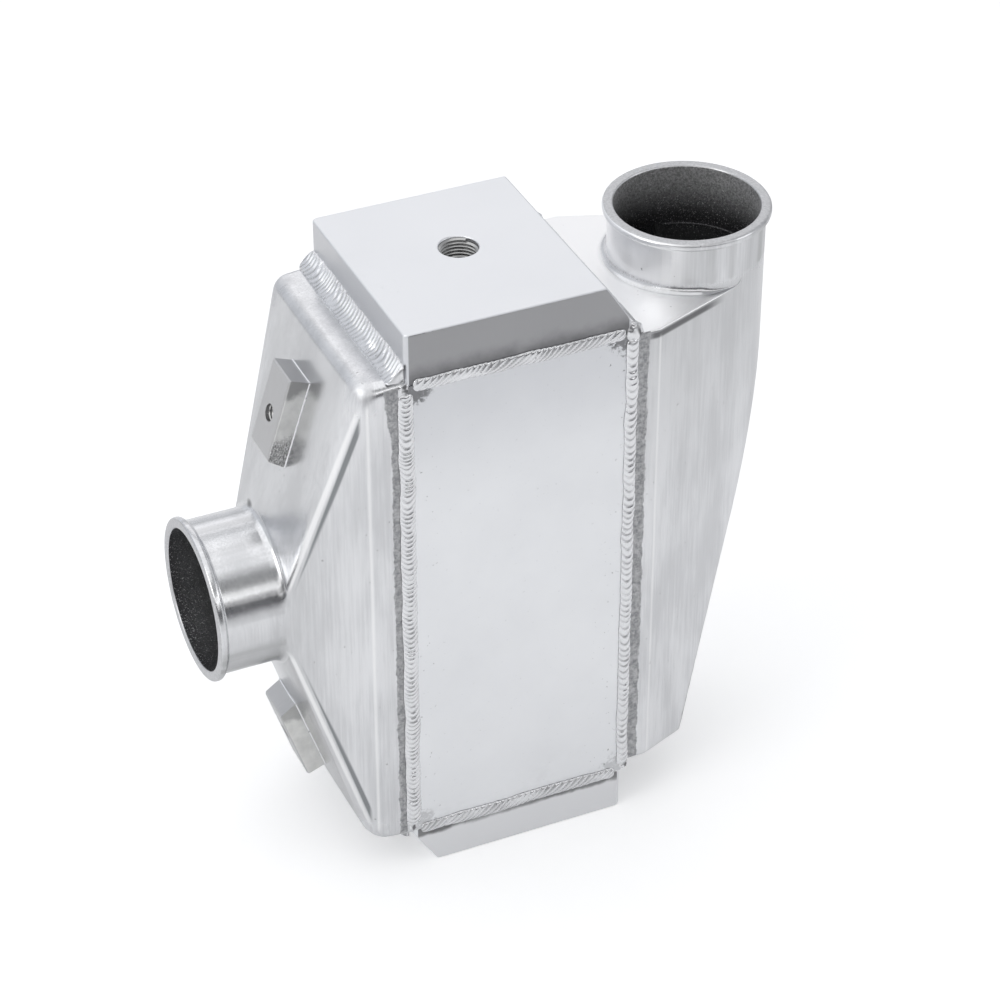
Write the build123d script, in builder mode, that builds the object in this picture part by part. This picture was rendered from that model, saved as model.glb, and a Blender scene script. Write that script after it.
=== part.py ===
from build123d import *
import os
from math import asin, atan2, cos, hypot, radians, sin, sqrt, tan

# Water-cooled intercooler, millimetres, +Z up. The charge air runs along X through a bar-and-plate
# core, from one cast end tank to the other, and the water runs along Z between two flat tanks.
# The origin is at the height of the bottom water tank's outer face, in the middle between the two
# hose stubs' rims. Inside this file X counts from the core's middle, and each finished piece is
# moved from there into the part's frame.

# Core
core_length = 114.3
core_depth = 114.3
core_height = 264.0
side_plate = 3.0
parting_sheet = 0.8
air_layers = 8
air_layer = 8.5
air_bar = 9.0
water_bar = 8.0
air_fin_pitch = 35.0
water_fin_pitch = 30.0
fin_metal = 0.5
fin_setback = 1.0

# Water tanks
top_tank_height = 27.0
bottom_tank_height = 23.5
top_tank_shoulder = 5.3
bottom_tank_shoulder = 3.5
top_tank_slope_run = 13.9
bottom_tank_slope_run = 12.6
water_tank_wall = 4.0
water_tank_roof = 5.0
water_tank_corner = 3.0
port_offset = (3.7, 5.0)
port_radius = 9.5
port_boss_radius = 17.0
port_depth = 14.0

# Hose stubs, for a 76.2 mm (3 in) hose
stub_radius = 38.1
stub_wall = 2.7
stub_bead_rise = 2.6
stub_bead_length = 4.5
stub_bead_chamfer = 1.2

# Left end tank: a collar, a ruled transition from rectangle to circle, and a horizontal stub
left_tank_overhang = 3.25
left_side_bend = 18.3
left_top_bend = 21.8
left_stub_root = 54.3
left_rim = 89.1
left_collar_corner = 3.0
left_bend_radius = 8.0
left_wall = 4.0
left_flange_wall = 7.0
left_neck_wall = 3.5
ridge_angle = 23.8
ridge_half_angle = 3.0

# Right end tank: half-round in plan, narrowing downwards, with an upright stub
right_tank_top_gap = 2.0
right_tank_bottom_gap = 3.5
right_collar_length = 13.85
right_stub_reach = 55.75
right_stub_rise = 28.1
right_wall_reach = 38.0
right_wall_knee = 47.5
right_collar_bend = 10.0
right_wall_rounding = 8.0
right_bottom_rounding = 5.0
right_stub_sink = 6.0
right_cavity_lead = 0.8
right_wall = 4.0

# Mount blocks on the left end tank, measured from the stub's centre height
block_width = 22.0
block_near = 77.0
block_far = 118.0
block_near_reach = 51.45
block_far_reach = 38.35
block_hole_height = 96.0
block_hole_radius = 4.25
block_hole_depth = 9.0
block_edge = 0.8
block_root = 14.0
block_near_lean = 0.7
block_far_lean = 0.38

# Weld beads
bead_width = 7.5
bead_height = 1.4
corner_bead_leg = 6.5
corner_bead_bulge = 1.2
bead_end_gap = 0.2

# How far from its place an edge or vertex may lie when it is picked
picking_margin = 0.01

# Places worked out from the sizes above
stub_bore_radius = stub_radius - stub_wall
stub_bead_radius = stub_radius + stub_bead_rise
half_length = core_length / 2
half_depth = core_depth / 2
core_bottom = bottom_tank_height
core_top = core_bottom + core_height
core_middle = (core_bottom + core_top) / 2
frame_centre = (right_stub_reach + stub_bead_radius - left_rim) / 2
water_layers = air_layers - 1
stack_depth = core_depth - 2 * side_plate
water_layer = (stack_depth - 2 * water_layers * parting_sheet - air_layers * air_layer) / water_layers
layer_step = air_layer + water_layer + 2 * parting_sheet
first_air_centre = -stack_depth / 2 + air_layer / 2
air_centres = [first_air_centre + i * layer_step for i in range(air_layers)]
water_centres = [y + layer_step / 2 for y in air_centres[:-1]]
sheet_offset = (water_layer + parting_sheet) / 2
sheet_centres = [y + side * sheet_offset for y in water_centres for side in (-1, 1)]


def save(part, label):
    """Moves a finished piece into the part's frame, names it and writes it under its name."""
    placed = part.moved(Location((-frame_centre, 0, 0)))
    placed.label = label
    export_step(placed, f"parts/{label}.step")


def slab(label, thickness, centre):
    """A flat sheet of the core that stands across the stack."""
    with BuildPart() as sheet:
        with BuildSketch(Plane.XZ.offset(-centre)):
            with Locations((0, core_middle)):
                Rectangle(core_length, core_height)
        extrude(amount=thickness / 2, both=True)
    save(sheet.part, label)


def bars(label, size, places):
    """A group of like bars, one for each layer that they close."""
    with BuildPart() as group:
        with Locations(*places):
            Box(*size)
    save(group.part, label)


def folded_fin(label, plane, run, layer, pitch, length):
    """A fin folded into a square wave along the plane's X, with its passages along the plane's Z."""
    folds = int(run // pitch)
    half_fold = (run - fin_metal) / (2 * folds)
    crest_offset = (layer - fin_metal) / 2
    with BuildPart() as fin:
        with BuildSketch(plane):
            with GridLocations(half_fold, 0, 2 * folds + 1, 1):
                Rectangle(fin_metal, layer)
            for side in (-1, 1):
                with Locations((-side * half_fold / 2, side * crest_offset)):
                    with GridLocations(2 * half_fold, 0, folds, 1):
                        Rectangle(half_fold + fin_metal, fin_metal)
        extrude(amount=length / 2, both=True)
    save(fin.part, label)


def build_core():
    """Side plates, parting sheets, bars and fins, stacked along Y and brazed face to face."""
    plate_centre = (core_depth - side_plate) / 2
    slab("front_side_plate", side_plate, -plate_centre)
    slab("back_side_plate", side_plate, plate_centre)
    for number, centre in enumerate(sheet_centres, 1):
        slab(f"parting_sheet_{number}", parting_sheet, centre)

    air_size = (core_length, air_layer, air_bar)
    air_bar_offset = (core_height - air_bar) / 2
    bars("top_air_bars", air_size, [(0, y, core_middle + air_bar_offset) for y in air_centres])
    bars("bottom_air_bars", air_size, [(0, y, core_middle - air_bar_offset) for y in air_centres])

    water_size = (water_bar, water_layer, core_height)
    water_bar_offset = (core_length - water_bar) / 2
    bars("left_water_bars", water_size, [(-water_bar_offset, y, core_middle) for y in water_centres])
    bars("right_water_bars", water_size, [(water_bar_offset, y, core_middle) for y in water_centres])

    air_run = core_height - 2 * air_bar
    air_passage = core_length - 2 * fin_setback
    for number, y in enumerate(air_centres, 1):
        across = Plane(origin=(0, y, core_middle), x_dir=(0, 0, 1), z_dir=(1, 0, 0))
        folded_fin(f"air_fin_{number}", across, air_run, air_layer, air_fin_pitch, air_passage)

    water_run = core_length - 2 * water_bar
    water_passage = core_height - 2 * fin_setback
    for number, y in enumerate(water_centres, 1):
        across = Plane(origin=(0, y, core_middle), x_dir=(1, 0, 0), z_dir=(0, 0, 1))
        folded_fin(f"water_fin_{number}", across, water_run, water_layer, water_fin_pitch, water_passage)


def water_tank(label, height, shoulder, slope_run, mouth):
    """A hollow tank with one sloped end. Its mouth plane lies on the core and its Z points outwards."""
    inner = half_length - water_tank_wall
    inner_slope_run = slope_run * (height - water_tank_roof - shoulder) / (height - shoulder)
    with BuildPart() as tank:
        with BuildSketch(Plane(origin=mouth.origin, x_dir=mouth.x_dir, z_dir=-mouth.y_dir)):
            with BuildLine():
                Polyline(
                    (-half_length, 0),
                    (half_length, 0),
                    (half_length, shoulder),
                    (half_length - slope_run, height),
                    (-half_length, height),
                    close=True,
                )
            make_face()
        extrude(amount=half_depth, both=True)
        ends = tank.edges().filter_by(Axis.Z).sort_by(Axis.X)
        fillet(ends, water_tank_corner)
        with BuildSketch(Plane(origin=mouth.origin, x_dir=mouth.x_dir, z_dir=-mouth.y_dir)):
            with BuildLine():
                Polyline(
                    (-inner, 0),
                    (inner, 0),
                    (inner, shoulder),
                    (inner - inner_slope_run, height - water_tank_roof),
                    (-inner, height - water_tank_roof),
                    close=True,
                )
            make_face()
        extrude(amount=half_depth - water_tank_wall, both=True, mode=Mode.SUBTRACT)
        with BuildSketch(mouth.offset(height - port_depth)):
            with Locations((-port_offset[0], port_offset[1])):
                Circle(port_boss_radius)
        extrude(amount=port_depth - water_tank_roof)
        with BuildSketch(mouth.offset(height)):
            with Locations((-port_offset[0], port_offset[1])):
                Circle(port_radius)
        extrude(amount=-port_depth, mode=Mode.SUBTRACT)
    save(tank.part, label)


def hose_stub(root, length):
    """A hose stub with a rolled bead at its rim, standing on the root plane."""
    with BuildPart() as stub:
        with BuildSketch(root):
            Circle(stub_radius)
        extrude(amount=length)
        with BuildSketch(root.offset(length - stub_bead_length)):
            Circle(stub_bead_radius)
        extrude(amount=stub_bead_length)
        bead = stub.faces().filter_by(GeomType.CYLINDER).sort_by(SortBy.RADIUS)[-1]
        chamfer(bead.edges().filter_by(GeomType.CIRCLE), stub_bead_chamfer)
    return stub.part


def left_section(offset):
    """The plane across the left tank at this distance from the core, seen from its stub."""
    return Plane(origin=(-half_length - offset, 0, core_middle), x_dir=(0, -1, 0), z_dir=(-1, 0, 0))


def bend_ends(bend, drop):
    """Where the rounding of a bend between the collar and the transition starts and ends."""
    turn = atan2(drop, left_stub_root - bend)
    tangent = left_bend_radius * tan(turn / 2)
    return bend - tangent, bend + tangent * cos(turn)


def share_gone(offset, bend, drop):
    """How far a half size has gone at this offset from the collar's to the stub's."""
    start, end = bend_ends(bend, drop)
    share_at_end = (end - bend) / (left_stub_root - bend)
    if offset <= start:
        return 0.0
    if offset < end:
        return share_at_end * (offset - start) / (end - start)
    return (offset - bend) / (left_stub_root - bend)


def flipped(point, across, up):
    """The point as it is for sides of 1, and mirrored across or up for sides of -1."""
    return (across * point[0], up * point[1])


def transition_section(offset, half_width, half_height):
    """A section between the collar's rectangle and the stub's circle, in eight edges."""
    share_y = share_gone(offset, left_side_bend, half_width - stub_radius)
    share_z = share_gone(offset, left_top_bend, half_height - stub_radius)
    corner = left_collar_corner
    rectangle = [
        (half_width, 0),
        (half_width, half_height - corner),
        (half_width - corner, half_height),
        (0, half_height),
    ]
    turns = (0, ridge_angle - ridge_half_angle, ridge_angle + ridge_half_angle, 90)
    circle = [(stub_radius * cos(radians(turn)), stub_radius * sin(radians(turn))) for turn in turns]
    quarter = [
        (a[0] + (b[0] - a[0]) * share_y, a[1] + (b[1] - a[1]) * share_z)
        for a, b in zip(rectangle, circle)
    ]
    side, low_corner, high_corner, crest = quarter
    with BuildSketch(left_section(offset)) as section:
        with BuildLine():
            for turn in (1, -1):
                Line(flipped(low_corner, turn, turn), flipped(high_corner, turn, turn))
                Line(flipped(high_corner, -turn, turn), flipped(low_corner, -turn, turn))
                ends = (flipped(high_corner, turn, turn), flipped(high_corner, -turn, turn))
                sides = (flipped(low_corner, turn, -1), flipped(low_corner, turn, 1))
                if share_z > 0:
                    ThreePointArc(ends[0], (0, turn * crest[1]), ends[1])
                else:
                    Line(*ends)
                if share_y > 0:
                    ThreePointArc(sides[0], (turn * side[0], 0), sides[1])
                else:
                    Line(*sides)
        make_face()
    return section.sketch


def left_body():
    """The collar and the ruled transition from its rectangle to the stub's circle."""
    half_height = core_height / 2 + left_tank_overhang
    side_bend = bend_ends(left_side_bend, half_depth - stub_radius)
    top_bend = bend_ends(left_top_bend, half_height - stub_radius)
    offsets = [0.0] + sorted(side_bend + top_bend) + [left_stub_root]
    with BuildPart() as body:
        loft([transition_section(offset, half_depth, half_height) for offset in offsets], ruled=True)
    return body.part


def left_cavity():
    """The hollow of the left tank: square in the collar, tapered towards the ridges' ends, with the bore."""
    half_width = half_depth - left_wall
    half_height = core_height / 2 + left_tank_overhang - left_flange_wall
    neck_width = stub_radius * cos(radians(ridge_angle)) - left_neck_wall
    neck_height = stub_radius * sin(radians(ridge_angle)) - left_neck_wall
    square_end = left_side_bend - left_wall / 2
    seen_from_front = Plane(origin=(-half_length, 0, core_middle), x_dir=(-1, 0, 0), z_dir=(0, 1, 0))
    seen_from_below = Plane(origin=(-half_length, 0, core_middle), x_dir=(-1, 0, 0), z_dir=(0, 0, -1))
    profiles = (
        (seen_from_front, half_height, neck_height, half_depth, Mode.ADD),
        (seen_from_below, half_width, neck_width, core_height, Mode.INTERSECT),
    )
    with BuildPart() as cavity:
        for plane, half_size, half_neck, reach, mode in profiles:
            with BuildSketch(plane):
                with BuildLine():
                    Polyline(
                        (0, -half_size),
                        (square_end, -half_size),
                        (left_stub_root, -half_neck),
                        (left_stub_root, half_neck),
                        (square_end, half_size),
                        (0, half_size),
                        close=True,
                    )
                make_face()
            extrude(amount=reach, both=True, mode=mode)
        with BuildSketch(left_section(square_end)):
            Circle(stub_bore_radius)
        extrude(amount=left_rim - square_end)
    return cavity.part


def left_outside():
    """The left tank's outer form with its stub, still solid."""
    with BuildPart() as outside:
        add(left_body())
        add(hose_stub(left_section(left_stub_root), left_rim - left_stub_root))
    return outside.part


def build_left_tank():
    """The left end tank, and the two mount blocks coped to its sloped faces."""
    outside = left_outside()
    with BuildPart() as tank:
        add(outside)
        add(left_cavity(), mode=Mode.SUBTRACT)
    save(tank.part, "left_end_tank")
    for side, label in ((1, "upper_mount_block"), (-1, "lower_mount_block")):
        save(mount_block(side, outside), label)


def mount_block(side, tank_outside):
    """A block on the tank's sloped face, above (side 1) or below (side -1) the stub."""
    def place(reach, height):
        return (-half_length - reach, core_middle + side * height)

    slope = (block_near_reach - block_far_reach) / (block_far - block_near)
    hole_reach = block_near_reach - slope * (block_hole_height - block_near)
    outward = Vector(-1, 0, side * slope).normalized()
    hole_x, hole_z = place(hole_reach, block_hole_height)
    mouth = Plane(origin=(hole_x, 0, hole_z), x_dir=(0, 1, 0), z_dir=outward)
    with BuildPart() as block:
        with BuildSketch(Plane.XZ):
            with BuildLine():
                Polyline(
                    place(block_far_reach, block_far),
                    place(block_near_reach, block_near),
                    place(block_near_reach - block_root, block_near - block_near_lean * block_root),
                    place(block_far_reach - block_root, block_far - block_far_lean * block_root),
                    close=True,
                )
            make_face()
        extrude(amount=block_width / 2, both=True)
        outer_face = block.faces().sort_by_distance(mouth.origin)[0]
        chamfer(outer_face.edges(), block_edge)
        add(tank_outside, mode=Mode.SUBTRACT)
        with BuildSketch(mouth):
            Circle(block_hole_radius)
        extrude(amount=-block_hole_depth, mode=Mode.SUBTRACT)
    return block.part


def right_plan(height, half_width, collar_end, radius):
    """The right tank's section: a collar, two sides tangent to a half circle round the stub."""
    stub_x = half_length + right_stub_reach
    bend_x = half_length + collar_end
    span = hypot(stub_x - bend_x, half_width)
    tangent_length = sqrt(span**2 - radius**2)
    direction = atan2(half_width, stub_x - bend_x) - asin(radius / span)
    tangent_x = bend_x + tangent_length * cos(direction)
    tangent_y = half_width - tangent_length * sin(direction)
    with BuildSketch(Plane.XY.offset(height)) as section:
        with BuildLine():
            Polyline(
                (tangent_x, -tangent_y),
                (bend_x, -half_width),
                (half_length, -half_width),
                (half_length, half_width),
                (bend_x, half_width),
                (tangent_x, tangent_y),
            )
            ThreePointArc((tangent_x, tangent_y), (stub_x + radius, 0), (tangent_x, -tangent_y))
        make_face()
        near, far = bend_x - picking_margin, bend_x + picking_margin
        bends = section.vertices().filter_by_position(Axis.X, near, far)
        fillet(bends, right_collar_bend)
    return section.sketch


def right_wedge(inset):
    """What the sloping outer wall leaves outside the right tank."""
    slope = (right_stub_reach + stub_radius - right_wall_reach) / (core_height - right_wall_knee)
    low = (half_length + right_wall_reach - inset, core_bottom)
    high = (low[0] + slope * core_height, core_top)
    far = half_length + 2 * (right_stub_reach + stub_radius)
    with BuildPart() as wedge:
        with BuildSketch(Plane.XZ):
            with BuildLine():
                Polyline(low, high, (far, core_top), (far, core_bottom), close=True)
            make_face()
        extrude(amount=core_depth, both=True)
    return wedge.part


def right_outside(top, bottom, stub_root):
    """The right tank's outer form with its stub, still solid."""
    with BuildPart() as outside:
        add(right_plan(bottom, half_depth, right_collar_length, stub_radius))
        extrude(amount=top - bottom)
        add(right_wedge(0), mode=Mode.SUBTRACT)
        wall = outside.faces().filter_by(GeomType.PLANE).sort_by(lambda f: f.normal_at().X * f.area)[-1]
        fillet(wall.edges().filter_by(lambda e: e.center().Z > bottom + picking_margin), right_wall_rounding)
        floor_edges = outside.faces().sort_by(Axis.Z)[0].edges()
        fillet(floor_edges.filter_by(lambda e: e.center().X > half_length + picking_margin), right_bottom_rounding)
        add(hose_stub(stub_root.offset(-right_stub_sink), right_stub_rise + right_stub_sink))
    return outside.part


def right_cavity(top, bottom, stub_root):
    """The hollow of the right tank and the bore of its stub."""
    inner_collar = right_collar_length - right_cavity_lead
    with BuildPart() as cavity:
        add(right_plan(bottom + right_wall, half_depth - right_wall, inner_collar, stub_bore_radius))
        extrude(amount=top - bottom - 2 * right_wall)
        add(right_wedge(right_wall), mode=Mode.SUBTRACT)
        with BuildSketch(stub_root.offset(-2 * right_wall)):
            Circle(stub_bore_radius)
        extrude(amount=2 * right_wall + right_stub_rise)
    return cavity.part


def build_right_tank():
    """The right end tank: half-round, narrowing downwards, with its stub standing on top."""
    top = core_top - right_tank_top_gap
    bottom = core_bottom + right_tank_bottom_gap
    stub_root = Plane(origin=(half_length + right_stub_reach, 0, top), z_dir=(0, 0, 1))
    with BuildPart() as tank:
        add(right_outside(top, bottom, stub_root))
        add(right_cavity(top, bottom, stub_root), mode=Mode.SUBTRACT)
    save(tank.part, "right_end_tank")


def weld_bead(label, section_plane, foot, bulge, run):
    """A bead on the points of its foot, closed by an arc that stands proud of their span."""
    start = Vector(*foot[0])
    end = Vector(*foot[-1])
    span = end - start
    crown = (start + end) / 2 + Vector(span.Y, -span.X).normalized() * bulge
    with BuildPart() as bead:
        with BuildSketch(section_plane):
            with BuildLine():
                Polyline(*foot)
                ThreePointArc(end, crown, start)
            make_face()
        extrude(amount=run / 2, both=True)
    save(bead.part, label)


def build_upright_beads():
    """The four beads that join the side plates to the end tanks."""
    level = Plane.XY.offset(core_middle)
    run = core_height - 2 * right_tank_bottom_gap - 2 * bead_end_gap
    half_bead = bead_width / 2
    for x, across in ((-half_length, "left"), (half_length, "right")):
        front = [(x - half_bead, -half_depth), (x + half_bead, -half_depth)]
        back = [(x + half_bead, half_depth), (x - half_bead, half_depth)]
        weld_bead(f"front_{across}_weld", level, front, bead_height, run)
        weld_bead(f"back_{across}_weld", level, back, bead_height, run)


def build_edge_beads():
    """The four beads that join the water tanks to the side plates."""
    section = Plane(origin=(0, 0, 0), x_dir=(0, 1, 0), z_dir=(1, 0, 0))
    run = core_length - bead_width - 2 * bead_end_gap
    half_bead = bead_width / 2
    for height, level in ((core_top, "top"), (core_bottom, "bottom")):
        front = [(-half_depth, height + half_bead), (-half_depth, height - half_bead)]
        back = [(half_depth, height - half_bead), (half_depth, height + half_bead)]
        weld_bead(f"{level}_front_weld", section, front, bead_height, run)
        weld_bead(f"{level}_back_weld", section, back, bead_height, run)


def build_corner_beads():
    """The four beads in the corners between the water tanks and the end tanks."""
    section = Plane(origin=(0, 0, 0), x_dir=(1, 0, 0), z_dir=(0, -1, 0))
    leg = corner_bead_leg
    left_top = core_top + left_tank_overhang
    right_top = core_top - right_tank_top_gap
    left_bottom = core_bottom - left_tank_overhang
    right_bottom = core_bottom + right_tank_bottom_gap
    shoulder = core_bottom - bottom_tank_shoulder
    slope_angle = atan2(shoulder, bottom_tank_slope_run)
    slope_end = (-half_length + leg * cos(slope_angle), shoulder - leg * sin(slope_angle))
    feet = {
        "top_left": [(-half_length - leg, left_top), (-half_length, left_top), (-half_length, left_top + leg)],
        "top_right": [(half_length, right_top + leg), (half_length, right_top), (half_length + leg, right_top)],
        "bottom_left": [
            slope_end,
            (-half_length, shoulder),
            (-half_length, left_bottom),
            (-half_length - leg, left_bottom),
        ],
        "bottom_right": [
            (half_length + leg, right_bottom),
            (half_length, right_bottom),
            (half_length, right_bottom - leg),
        ],
    }
    run = core_depth - 2 * (right_bottom_rounding + bead_end_gap)
    for place, foot in feet.items():
        weld_bead(f"{place}_weld", section, foot, corner_bead_bulge, run)


os.makedirs("parts", exist_ok=True)
build_core()
top_mouth = Plane(origin=(0, 0, core_top), x_dir=(1, 0, 0), z_dir=(0, 0, 1))
bottom_mouth = Plane(origin=(0, 0, core_bottom), x_dir=(-1, 0, 0), z_dir=(0, 0, -1))
water_tank("top_water_tank", top_tank_height, top_tank_shoulder, top_tank_slope_run, top_mouth)
water_tank("bottom_water_tank", bottom_tank_height, bottom_tank_shoulder, bottom_tank_slope_run, bottom_mouth)
build_left_tank()
build_right_tank()
build_upright_beads()
build_edge_beads()
build_corner_beads()
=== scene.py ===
from math import atan2, cos, hypot, pi, radians, sin, sqrt, tan

import bmesh
import bpy
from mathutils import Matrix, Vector, noise


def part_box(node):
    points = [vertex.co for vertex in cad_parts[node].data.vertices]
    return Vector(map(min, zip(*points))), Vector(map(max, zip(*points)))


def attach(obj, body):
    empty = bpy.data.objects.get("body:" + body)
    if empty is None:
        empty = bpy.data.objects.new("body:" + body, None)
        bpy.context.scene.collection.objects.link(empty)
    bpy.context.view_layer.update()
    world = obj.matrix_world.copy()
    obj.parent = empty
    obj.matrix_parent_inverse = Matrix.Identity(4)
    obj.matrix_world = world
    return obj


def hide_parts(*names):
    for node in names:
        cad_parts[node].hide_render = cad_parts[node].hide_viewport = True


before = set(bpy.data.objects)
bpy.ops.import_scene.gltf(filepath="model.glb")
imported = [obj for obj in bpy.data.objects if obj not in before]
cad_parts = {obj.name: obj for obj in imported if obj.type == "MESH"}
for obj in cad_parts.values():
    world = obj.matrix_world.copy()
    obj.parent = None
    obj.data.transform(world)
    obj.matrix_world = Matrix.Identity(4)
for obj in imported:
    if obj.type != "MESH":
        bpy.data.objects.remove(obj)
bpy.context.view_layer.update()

# Sizes in millimetres, counted in X from the middle of the core, as in the part's source
HALF = 57.15
FRAME_SHIFT = 3.675
CORE_BOTTOM, CORE_TOP, STUB_HEIGHT, PART_TOP = 23.5, 287.5, 155.5, 314.5
CORE_HEIGHT = CORE_TOP - CORE_BOTTOM
WALL = 4.0
STUB_RADIUS, BORE_RADIUS, LIP_RADIUS, LIP_LENGTH = 38.1, 35.4, 40.7, 4.5

# Left end tank, outwards from the core's side; its ridges meet the stub at an angle in degrees
LEFT_SIDE_BEND, LEFT_TOP_BEND, LEFT_ROOT, LEFT_RIM = 18.3, 21.8, 54.3, 89.1
LEFT_END = -HALF - LEFT_RIM
RIDGE, RIDGE_HALF = 23.8, 3.0

# The ends of a corner ridge, at the bend and at the stub: outwards, across and up from the stub's axis
RIDGE_FROM = (77.0, HALF, 135.25)
RIDGE_TO = (111.45, 34.85, 15.35)

# Right end tank; its skin is drawn as rays from an upright line, the heart
STUB_OUT, WALL_FOOT_OUT, WALL_STOPS_BELOW = 55.75, 38.0, 47.5
RIGHT_STUB, RIGHT_COLLAR, RIGHT_TOP, RIGHT_BOTTOM = HALF + STUB_OUT, HALF + 13.85, 285.5, 27.0
RIGHT_RIM = RIGHT_TOP + 28.1
FLOOR_EDGE = 5.0
HEART = 75.0

# Mount blocks: a leaning face, as two heights above the stub's axis with their reach outwards
BLOCK_HALF, BLOCK_HOLE = 11.0, 96
BLOCK_NEAR, BLOCK_FAR = (77, 51.45), (118, 38.35)

# Threads: the port of a water tank, and the hole of a mount block
PORT_ACROSS, PORT_BACK = 3.7, 5.0
PORT_THREAD = {"radius": 9.5, "pitch": 1.81, "turns": 7, "depth": 0.9}
HOLE_THREAD = {"radius": 4.25, "pitch": 1.5, "turns": 5, "depth": 0.45}

# Air fins, the easing of sharp edges, and the welds' sizes
FIN_PITCH, FIN_METAL = 3.0, 0.2
SHEET_EASE, BLOCK_EASE = 0.9, 0.5
BEAD_RISE, CORNER_BEAD_RISE, CRATER_RISE = 1.38, 1.9, 1.35
UPRIGHT_BEAD_INSET, EDGE_BEAD_HALF, SEAM_RADIUS = 3.7, 53.5, 0.6


def at(x, y, z):
    """A place given in millimetres from the core's middle, in the part's frame and metres."""
    return Vector(((x - FRAME_SHIFT) / 1000, y / 1000, z / 1000))


# Shader maths

class Value:
    """A shader socket that takes part in Python expressions."""

    def __init__(self, tree, socket):
        self.tree = tree
        self.socket = socket

    def node(self, kind, settings=None, **inputs):
        """A new node's first output; an input goes by its socket's name, or by at and its number."""
        made = self.tree.nodes.new(kind)
        for key, setting in (settings or {}).items():
            if key == "stops":
                ramp = made.color_ramp
                while len(ramp.elements) < len(setting):
                    ramp.elements.new(0.5)
                for element, (position, colour) in zip(ramp.elements, setting):
                    element.position = position
                    element.color = colour
            else:
                setattr(made, key, setting)
        for key, value in inputs.items():
            name = key.replace("_", " ")
            socket = made.inputs[int(name[2:])] if name.startswith("at") else made.inputs[name]
            if isinstance(value, Value):
                self.tree.links.new(value.socket, socket)
            else:
                socket.default_value = value
        return Value(self.tree, next(out for out in made.outputs if out.enabled))

    def math(self, operation, *others):
        """A Math node's result from this value and the others."""
        values = {f"at{i}": v for i, v in enumerate((self,) + others)}
        return self.node("ShaderNodeMath", {"operation": operation}, **values)

    def __add__(self, other):
        return self.math("ADD", other)

    def __radd__(self, other):
        return self.math("ADD", other)

    def __sub__(self, other):
        return self.math("SUBTRACT", other)

    def __rsub__(self, other):
        return (self * -1).math("ADD", other)

    def __mul__(self, other):
        return self.math("MULTIPLY", other)

    def __rmul__(self, other):
        return self.math("MULTIPLY", other)

    def __truediv__(self, other):
        return self.math("DIVIDE", other)

    def __pow__(self, other):
        return self.math("POWER", other)

    def __abs__(self):
        return self.math("ABSOLUTE")

    def step(self, low, high):
        """Runs smoothly from 0 at low to 1 at high."""
        return self.node("ShaderNodeMapRange", {"interpolation_type": "SMOOTHSTEP"},
                         Value=self, From_Min=low, From_Max=high)

    def within(self, low, high, soft):
        """1 between low and high, and 0 outside them."""
        return self.step(low - soft, low + soft) * (1 - self.step(high - soft, high + soft))

    def capped(self):
        """This value, but 1 at most."""
        return self.math("MINIMUM", 1.0)

    def mix(self, first, second):
        """The second colour where this value is 1 and the first where it is 0."""
        return self.node("ShaderNodeMix", {"data_type": "RGBA"}, at0=self, at6=first, at7=second).output(2)

    def output(self, index):
        """Another output of the same node."""
        return Value(self.tree, self.socket.node.outputs[index])


def surface(name, colour):
    """A new metal with its shader, and the place on the object in millimetres."""
    material = bpy.data.materials.new(name)
    material.use_nodes = True
    tree = material.node_tree
    shader = tree.nodes["Principled BSDF"]
    shader.inputs["Base Color"].default_value = (*colour, 1)
    shader.inputs["Metallic"].default_value = 1.0
    coordinates = tree.nodes.new("ShaderNodeTexCoord")
    place = Value(tree, coordinates.outputs["Object"])
    place = place.node("ShaderNodeVectorMath", {"operation": "SCALE"}, Vector=place, Scale=1000.0)
    return material, shader, place


def axes(place):
    """A place's X from the core's middle, its Y and its Z."""
    split = place.node("ShaderNodeSeparateXYZ", Vector=place)
    return split.output(0) + FRAME_SHIFT, split.output(1), split.output(2)


def noted(place, name):
    """The number that each vertex carries under this name."""
    return place.node("ShaderNodeAttribute", {"attribute_name": name}).output(2)


def feed(shader, **values):
    """Links values to the shader's sockets."""
    for key, value in values.items():
        value.tree.links.new(value.socket, shader.inputs[key.replace("_", " ")])


def grain(place, scale, detail=3.0, roughness=0.5, stretch=None):
    """Noise over the object; the scale counts waves per millimetre."""
    if stretch:
        place = place.node("ShaderNodeVectorMath", {"operation": "MULTIPLY"}, at0=place, at1=stretch)
    return place.node("ShaderNodeTexNoise", Vector=place, Scale=scale, Detail=detail, Roughness=roughness)


def relief(height, strength, distance):
    """A bump from a height field; the distance is in millimetres."""
    return height.node("ShaderNodeBump", Height=height, Strength=strength, Distance=distance / 1000)


def layered(colour, *layers):
    """A colour under a stack of layers, each with its mask and its own colour."""
    for mask, paint in layers:
        colour = mask.mix(colour, paint)
    return colour


# Polished castings

def matt_strip(place, x, z, across):
    """The ground strip beside each upright weld, with a ragged edge and wider near the top."""
    ragged = (grain(place, 0.14, 4, 0.7) - 0.5) * 4.5 + (grain(place, 0.6, 3, 0.7) - 0.5) * 2.2
    on_right = x.step(-1, 1)
    widening = z.step(258, 284) * (3.0 - on_right * 2.6)
    edge = abs(x) + ragged * 0.8 - widening
    left = abs(x).step(60.4, 60.9) * (1 - edge.step(64.2, 64.9)) * (1 - on_right)
    right = abs(x).step(59.6, 60.1) * (1 - edge.step(65.2, 65.9)) * on_right
    return (left + right) * across.step(HALF - 0.85, HALF - 0.35)


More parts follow.
